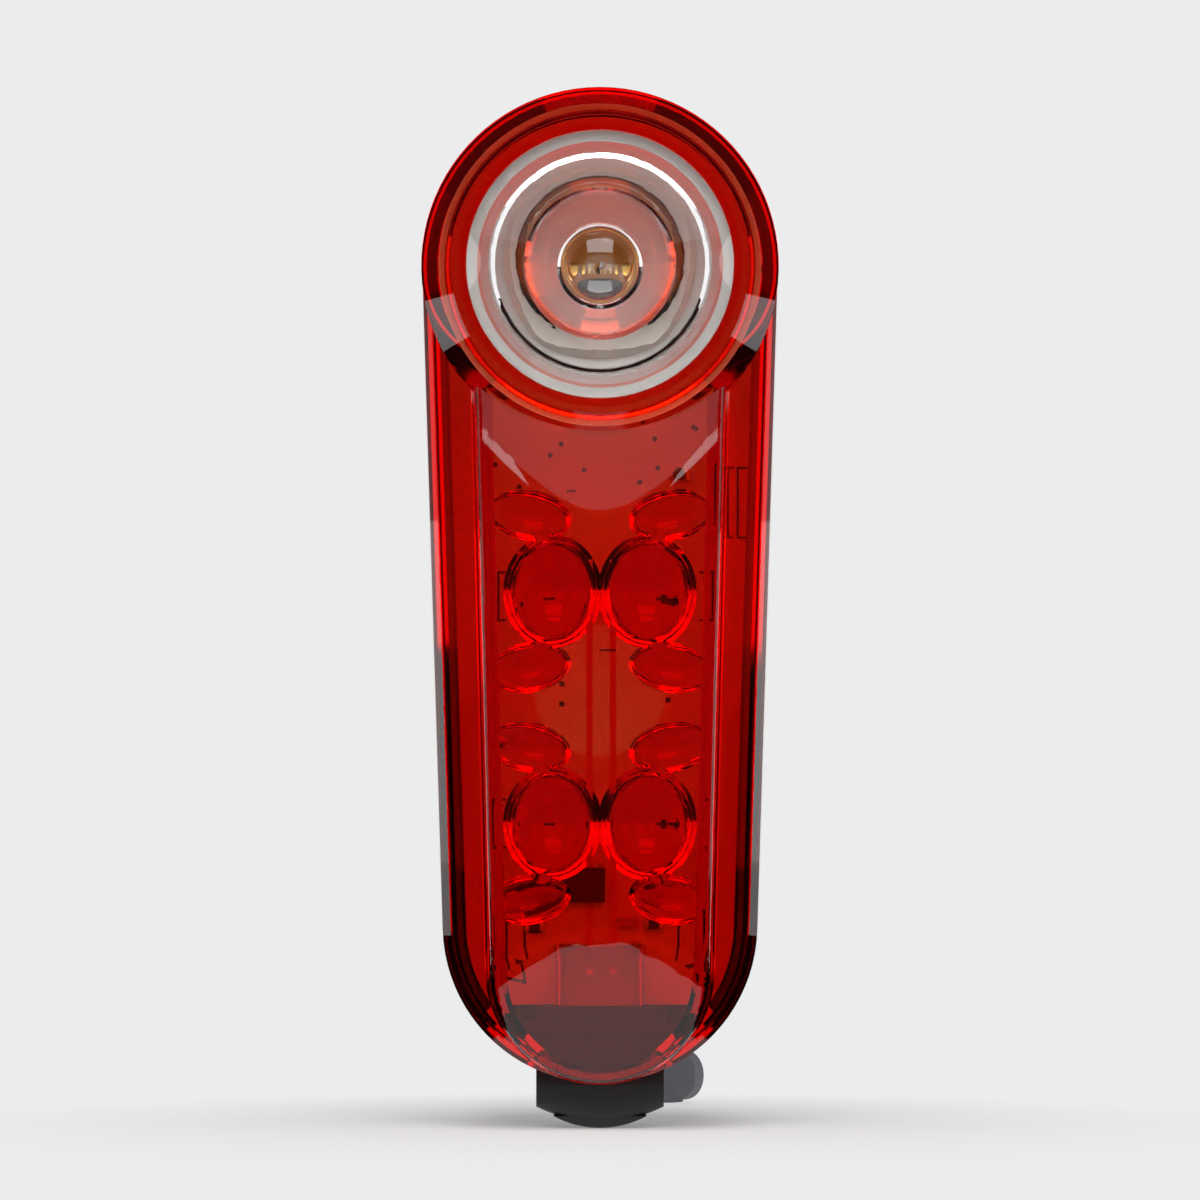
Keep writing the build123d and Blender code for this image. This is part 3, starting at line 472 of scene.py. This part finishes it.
# Fired ceramic of the small parts: brown, and speckled at under a millimetre
ceramic = finish("ceramic_fired", "#4A3A2C", "#2E2620", 0.35, 0.2, 0.004, spread=0.8)
# Nickel plate on steel: a bright metal, a little warm
nickel = finish("nickel_plated_steel", "#C9C6BE", "#B5B2AA", 0.22, 0.1, 0.002, metallic=1.0)
# Gold flash on contacts: thin and smooth
gold = finish("gold_flash", "#D9B15A", "#C89A45", 0.25, 0.1, 0.001, metallic=1.0)
# Foil of a pouch cell: creased aluminium, so its relief is coarse
foil = finish("aluminium_pouch_foil", "#C4C5C8", "#A9ABAF", 0.35, 1.2, 0.05, metallic=1.0)
# Drawn stainless wire: a clear metal shine along the pin
steel = finish("stainless_drawn_wire", "#B8B8BA", "#A6A6A8", 0.28, 0.3, 0.003, metallic=1.0)

# %% Give each piece its finish
FINISHES = {
    "red_polycarbonate": red_plastic,
    "clear_polycarbonate": clear,
    "black_rubber": black_rubber,
    "white_silicone": white_silicone,
    "grey_silicone": grey_silicone,
    "black_abs": black_abs,
    "white_solder_mask": solder_mask,
    "chip_epoxy": epoxy,
    "chip_ceramic": ceramic,
    "led_ceramic": led_frame,
    "led_phosphor": phosphor,
    "led_silicone": silicone_dome,
    "nickel_steel": nickel,
    "gold_contact": gold,
    "cell_foil": foil,
    "foam_tape": foam,
    "lead_insulation": insulation,
    "stainless_pin": steel,
}
slot_of = {part["node"]: part["material_slot"] for part in frame["record"]["subparts"]}
for name, piece in nodes.items():
    piece.data.materials.clear()
    piece.data.materials.append(FINISHES[slot_of[name]])
print("finishes given to", len(nodes), "pieces")

# %% [markdown]
# ## Marks on the board
# A circuit board carries printed marks for the people who assemble it: signs at the light sources,
# brackets round parts, and dots. They are a film of ink, so each is a thin plate on the board's face,
# cut to its outline. A picture on the board would be quicker, but plates are real edges and stay
# sharp under the lobes. Their places are read from the photograph in pixels and laid on the board
# with the scale that the camera uses.

# %% Plates on the board
DISC_STEPS, CRESCENT_STEPS = 16, 10
INK_THICKNESS = 0.03 * MM
board_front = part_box("circuit_board")[0].y
MIDDLE_COLUMN = FRAME_PIXELS / 2


def on_board(column, row):
    """The place across and up of a pixel, in metres"""
    return (column - MIDDLE_COLUMN) * PIXEL, foot + (FOOT_ROW - row) * PIXEL


def add_plate(mesh, outline):
    """A thin plate with this outline of places across and up"""
    rings = []
    for y in (board_front - INK_THICKNESS, board_front):
        rings.append([mesh.verts.new((x, y, z)) for x, z in outline])
    mesh.faces.new(rings[0])
    mesh.faces.new(reversed(rings[1]))
    for i in range(len(outline)):
        j = (i + 1) % len(outline)
        mesh.faces.new((rings[0][j], rings[0][i], rings[1][i], rings[1][j]))


def rectangle(column, row, width, height):
    x, z = on_board(column, row)
    half, rise = width * PIXEL / 2, height * PIXEL / 2
    return [(x - half, z - rise), (x + half, z - rise), (x + half, z + rise), (x - half, z + rise)]


def disc(column, row, radius):
    x, z = on_board(column, row)
    turns = [2 * math.pi * i / DISC_STEPS for i in range(DISC_STEPS)]
    return [(x + radius * PIXEL * math.cos(t), z + radius * PIXEL * math.sin(t)) for t in turns]


def crescent(column, row, width, height):
    """The half of an upright oval that faces left"""
    x, z = on_board(column, row)
    turns = [math.pi * (0.5 + i / CRESCENT_STEPS) for i in range(CRESCENT_STEPS + 1)]
    return [(x + width * PIXEL * math.cos(t), z + height * PIXEL / 2 * math.sin(t)) for t in turns]


# %% [markdown]
# The ink is black epoxy, screened on in one pass. It is flat and satin, and one mesh holds it all.
# Plus and minus signs stand at the two flat LEDs, a half oval marks each LED's minus side, and thin
# frames and dots mark the tracks. All numbers are the photograph's pixels.

# %% Ink
SIGN_ROWS = (596, 824)
MINUS_COLUMN, PLUS_COLUMN, MOON_COLUMN = 554, 651, 547
SIGN_SPAN, SIGN_LINE = 5.2, 1.5
MOON_RISE, MOON_WIDTH, MOON_HEIGHT = 1.5, 3.2, 9.5
BRACKET_COLUMNS = (499, 706)
BRACKET_HEIGHT, BRACKET_ARM, LINE = 50, 6, 2
SQUARE_SIDE, DOT_RADIUS = 5, 2.6
DOTS = (
    (496, 464), (550, 455), (561, 444), (584, 470), (658, 468), (655, 439), (694, 427), (561, 417),
    (527, 408), (640, 482), (520, 486), (676, 500),
)
SQUARES = ((562, 674), (562, 684), (562, 704), (548, 676), (646, 676), (668, 700))
DASHES = ((571, 491, 9, 2), (608, 650, 16, 2), (536, 933, 14, 2), (520, 958, 12, 3), (690, 962, 16, 3))
FRAMES = ((713, 494, 9, 62), (741, 502, 12, 72), (516, 950, 18, 66), (688, 940, 20, 60))


def make_ink():
    mesh = bmesh.new()
    for row in SIGN_ROWS:
        add_plate(mesh, rectangle(MINUS_COLUMN, row, SIGN_SPAN, SIGN_LINE))
        add_plate(mesh, rectangle(PLUS_COLUMN, row, SIGN_SPAN, SIGN_LINE))
        rest = (SIGN_SPAN - SIGN_LINE) / 2
        for end in (-1, 1):
            add_plate(mesh, rectangle(PLUS_COLUMN, row + end * (SIGN_LINE + rest) / 2, SIGN_LINE, rest))
        add_plate(mesh, crescent(MOON_COLUMN, row - MOON_RISE, MOON_WIDTH, MOON_HEIGHT))
        for side, column in zip((1, -1), BRACKET_COLUMNS):
            add_plate(mesh, rectangle(column, row, LINE, BRACKET_HEIGHT))
            for end in (-1, 1):
                arm_row = row + end * (BRACKET_HEIGHT - LINE) / 2
                arm_column = column + side * (LINE + BRACKET_ARM) / 2
                add_plate(mesh, rectangle(arm_column, arm_row, BRACKET_ARM, LINE))
    for column, row in SQUARES:
        add_plate(mesh, rectangle(column, row, SQUARE_SIDE, SQUARE_SIDE))
    for dash in DASHES:
        add_plate(mesh, rectangle(*dash))
    for column, row, width, height in FRAMES:
        for side in (-1, 1):
            add_plate(mesh, rectangle(column + side * width / 2, row, LINE, height))
            add_plate(mesh, rectangle(column, row + side * (height - LINE) / 2, width - LINE, LINE))
    for column, row in DOTS:
        add_plate(mesh, disc(column, row, DOT_RADIUS))
    data = bpy.data.meshes.new("board_marks")
    mesh.to_mesh(data)
    mesh.free()
    piece = bpy.data.objects.new("board_marks", data)
    bpy.context.scene.collection.objects.link(piece)
    data.materials.append(finish("screen_ink", "#141414", "#222222", 0.5, 0.05, 0.002))
    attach(piece, "housing")
    print("faces of ink:", len(data.polygons))


make_ink()

# %% [markdown]
# ## The main LED's die
# The eye of the spot lens is a magnifier, and what it shows is the die: a small square of amber
# phosphor, with a comb of gold fingers over it and a dark pad below. The die stands a hair further
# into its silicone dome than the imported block, so that no two faces lie in one plane.

# %% Die
DIE_LIFT = 0.05 * MM
DIE_GROW = 0.02 * MM
FINGER_COUNT = 9
FINGER_WIDTH_SHARE, FINGER_HEIGHT_SHARE, FINGER_ROW_SHARE = 0.03, 0.16, 0.08
FINGER_SPREAD_SHARE = 0.62
PAD_WIDTH_SHARE, PAD_HEIGHT_SHARE, PAD_ROW_SHARE = 0.8, 0.3, -0.22
PLATE_STEP = 0.01 * MM
die_low, die_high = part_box("spot_led_chip")


def add_block(mesh, low, high):
    """A block between two corners"""
    made = bmesh.ops.create_cube(mesh, size=1)
    for vertex in made["verts"]:
        vertex.co = [low[i] + (vertex.co[i] + 0.5) * (high[i] - low[i]) for i in range(3)]


def keep_mesh(mesh, name, material, body):
    """Make an object of a mesh under way, which rides on a body"""
    data = bpy.data.meshes.new(name)
    mesh.to_mesh(data)
    mesh.free()
    piece = bpy.data.objects.new(name, data)
    bpy.context.scene.collection.objects.link(piece)
    data.materials.append(material)
    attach(piece, body)
    return piece


def on_die(width, height, column, row, level):
    """Corners of a plate on the die, in shares of its side"""
    side = die_high.x - die_low.x
    x, z = (die_low.x + die_high.x) / 2 + column * side, (die_low.z + die_high.z) / 2 + row * side
    y = die_low.y - DIE_LIFT - level * PLATE_STEP
    half, rise = width * side / 2, height * side / 2
    return (x - half, y, z - rise), (x + half, y + PLATE_STEP, z + rise)


def make_die():
    mesh = bmesh.new()
    grow = Vector((DIE_GROW, 0, DIE_GROW))
    add_block(mesh, die_low - grow - Vector((0, DIE_LIFT, 0)), die_high + grow)
    die = keep_mesh(mesh, "phosphor_die", phosphor, "housing")
    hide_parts("spot_led_chip")
    fingers = bmesh.new()
    for number in range(FINGER_COUNT):
        column = FINGER_SPREAD_SHARE * (number / (FINGER_COUNT - 1) - 0.5)
        add_block(fingers, *on_die(FINGER_WIDTH_SHARE, FINGER_HEIGHT_SHARE, column, FINGER_ROW_SHARE, 1))
    keep_mesh(fingers, "die_fingers", gold, "housing")
    pad = bmesh.new()
    add_block(pad, *on_die(PAD_WIDTH_SHARE, PAD_HEIGHT_SHARE, 0, PAD_ROW_SHARE, 1))
    keep_mesh(pad, "die_pad", ceramic, "housing")
    print("fingers on the die:", FINGER_COUNT)


make_die()

# %% [markdown]
# ## Solder ends
# Every ceramic part on the board ends in two tinned caps, which glint through the red. Each is found
# from its own part: the mesh of the small parts falls into islands, one per part, and each island's
# corners say where its two caps go. The driver chip gets a row of legs at its top and its bottom.

# %% Caps and legs
CAP_SHARE = 0.2
CAP_SKIN = 0.02 * MM
LEG_COUNT = 5
LEG_WIDTH, LEG_REACH, LEG_THICKNESS = 0.28 * MM, 0.35 * MM, 0.15 * MM


def islands(data):
    """The lowest and highest corner of each connected part of a mesh, always in the same order"""
    mesh = bmesh.new()
    mesh.from_mesh(data)
    bmesh.ops.remove_doubles(mesh, verts=mesh.verts, dist=CAP_SKIN / 10)
    left = set(mesh.verts)
    boxes = []
    while left:
        group, edge_of_search = set(), [left.pop()]
        while edge_of_search:
            vertex = edge_of_search.pop()
            group.add(vertex)
            near = {edge.other_vert(vertex) for edge in vertex.link_edges} & left
            left -= near
            edge_of_search += near
        spots = [vertex.co for vertex in group]
        boxes.append(tuple(
            Vector([pick(spot[i] for spot in spots) for i in range(3)]) for pick in (min, max)
        ))
    mesh.free()
    return sorted(boxes, key=lambda box: tuple(box[0]))


def make_caps():
    mesh = bmesh.new()
    skin = Vector((CAP_SKIN, CAP_SKIN, CAP_SKIN))
    boxes = islands(nodes["small_components"].data)
    for low, high in boxes:
        reach = (high.x - low.x) * CAP_SHARE
        board_side = Vector((skin.x, 0, skin.z))
        add_block(mesh, low - skin, Vector((low.x + reach, high.y, high.z)) + board_side)
        add_block(mesh, Vector((high.x - reach, low.y, low.z)) - skin, high + board_side)
    keep_mesh(mesh, "solder_caps", nickel, "housing")
    print("ceramic parts with caps:", len(boxes))


def make_legs():
    mesh = bmesh.new()
    low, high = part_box("driver_chip")
    step = (high.x - low.x) / LEG_COUNT
    for number in range(LEG_COUNT):
        x = low.x + step * (number + 0.5) - LEG_WIDTH / 2
        for z in (low.z - LEG_REACH, high.z):
            add_block(mesh, (x, high.y - LEG_THICKNESS, z), (x + LEG_WIDTH, high.y, z + LEG_REACH))
    keep_mesh(mesh, "chip_legs", nickel, "housing")
    print("legs of the driver chip:", 2 * LEG_COUNT)


make_caps()
make_legs()

# %% [markdown]
# ## Strap
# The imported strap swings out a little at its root. A relaxed rubber strap lies closer to the saddle,
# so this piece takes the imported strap's form and draws its root in towards the post, by the
# difference between two closing curves about the post's axis. A closing curve says at which radius
# the strap runs, from the pin's circle at its root to the post's at its tip, and the drawn one gets
# there sooner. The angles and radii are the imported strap's own.

# %% Strap drawn in
STRAP_START, STRAP_END = math.radians(221.7), math.radians(47.0)
STRAP_RADIUS, PIN_CIRCLE = 13.3 * MM, 15.94 * MM
CLOSE_PACKED, CLOSE_DRAWN = 0.3, 0.12


def closing_radius(share, close_share):
    closing = min(1, share / close_share)
    return PIN_CIRCLE + (STRAP_RADIUS - PIN_CIRCLE) * closing**2 * (3 - 2 * closing)


def draw_in(point):
    """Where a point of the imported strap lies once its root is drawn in"""
    reach = math.hypot(point.x, point.y)
    angle = math.atan2(point.y, point.x) % (2 * math.pi)
    share = max(0, (STRAP_START - angle) / (STRAP_START - STRAP_END))
    step = closing_radius(share, CLOSE_DRAWN) - closing_radius(share, CLOSE_PACKED)
    scale = (reach + step) / reach
    return Vector((point.x * scale, point.y * scale, point.z))


def make_strap():
    data = nodes["strap"].data.copy()
    for vertex in data.vertices:
        vertex.co = draw_in(vertex.co)
    piece = bpy.data.objects.new("rubber_strap", data)
    bpy.context.scene.collection.objects.link(piece)
    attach(piece, "strap")
    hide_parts("strap")
    print("points of the strap moved:", len(data.vertices))


make_strap()

# %% [markdown]
# ## Light bounces and the end
# Light passes many clear walls in the head before it reaches the board, so it gets more bounces than
# usual.

# %% Finish
LIGHT_BOUNCES = 24
bpy.context.scene.view_settings.view_transform = "Standard"
light_path = bpy.context.scene.cycles
light_path.max_bounces = light_path.transmission_bounces = LIGHT_BOUNCES
light_path.glossy_bounces = LIGHT_BOUNCES
